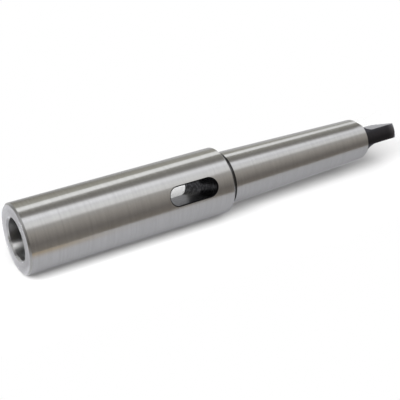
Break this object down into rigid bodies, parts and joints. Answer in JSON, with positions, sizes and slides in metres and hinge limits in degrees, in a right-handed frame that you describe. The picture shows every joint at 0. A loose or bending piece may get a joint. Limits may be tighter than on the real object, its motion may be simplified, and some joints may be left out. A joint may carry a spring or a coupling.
{
  "type": "morse taper sleeve",
  "caption": "One-piece steel extension sleeve with a tapered socket and a drift slot in its barrel, and a tapered shank that ends in a flat tang.",
  "frame": {"origin": "centre of the flat face round the socket's mouth, on the sleeve's axis, where the sleeve stands", "axes": "+Z along the axis from the socket face to the tang; the drift slot goes through along Y; the tang's two flats face +X and -X"},
  "size_m": [0.03, 0.03, 0.194],
  "materials": {
    "ground_steel": "ground barrel and shank, dark tang and slot"
  },
  "bodies": {
    "root": {"sleeve": "ground_steel"}
  },
  "joints": []
}
